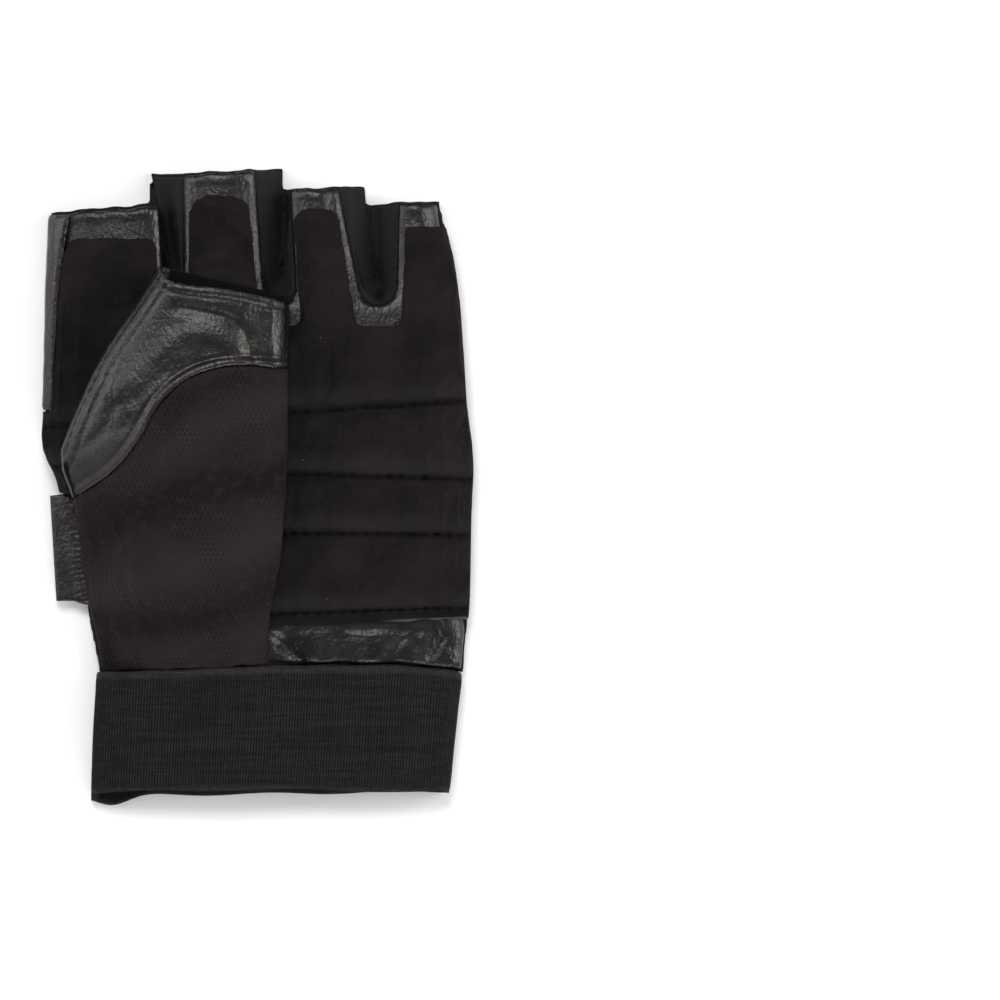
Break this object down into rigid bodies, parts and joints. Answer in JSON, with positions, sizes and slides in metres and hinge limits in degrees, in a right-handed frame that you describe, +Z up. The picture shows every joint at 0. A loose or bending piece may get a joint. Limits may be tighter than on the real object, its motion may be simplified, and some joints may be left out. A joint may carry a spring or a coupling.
{
  "type": "weightlifting glove",
  "caption": "Half-finger weightlifting glove for the left hand, lying palm up with its thumb folded over a padded suede palm, elastic wrist cuff.",
  "frame": {"origin": "middle of the box's underside, on the surface that the back of the hand lies on", "axes": "+Y towards the finger tips, +X towards the little finger, +Z up, out of the palm"},
  "size_m": [0.1085, 0.1599, 0.0256],
  "materials": {
    "leather": "black grained synthetic leather, soft shine",
    "suede": "black suede, matt with a short nap",
    "stretch_fabric": "black stretch fabric, matt",
    "knitted_mesh": "brownish black knitted mesh with small holes",
    "elastic": "black ribbed elastic webbing"
  },
  "bodies": {
    "root": {"palm_leather": "leather", "palm_suede": "suede", "index_side_strip": "leather", "back_panel": "stretch_fabric", "fourchette_index_middle": "stretch_fabric", "fourchette_middle_ring": "stretch_fabric", "fourchette_ring_little": "stretch_fabric", "thumb_leather": "leather", "thumb_mesh": "knitted_mesh", "side_tab": "leather", "wrist_cuff": "elastic"}
  },
  "joints": []
}
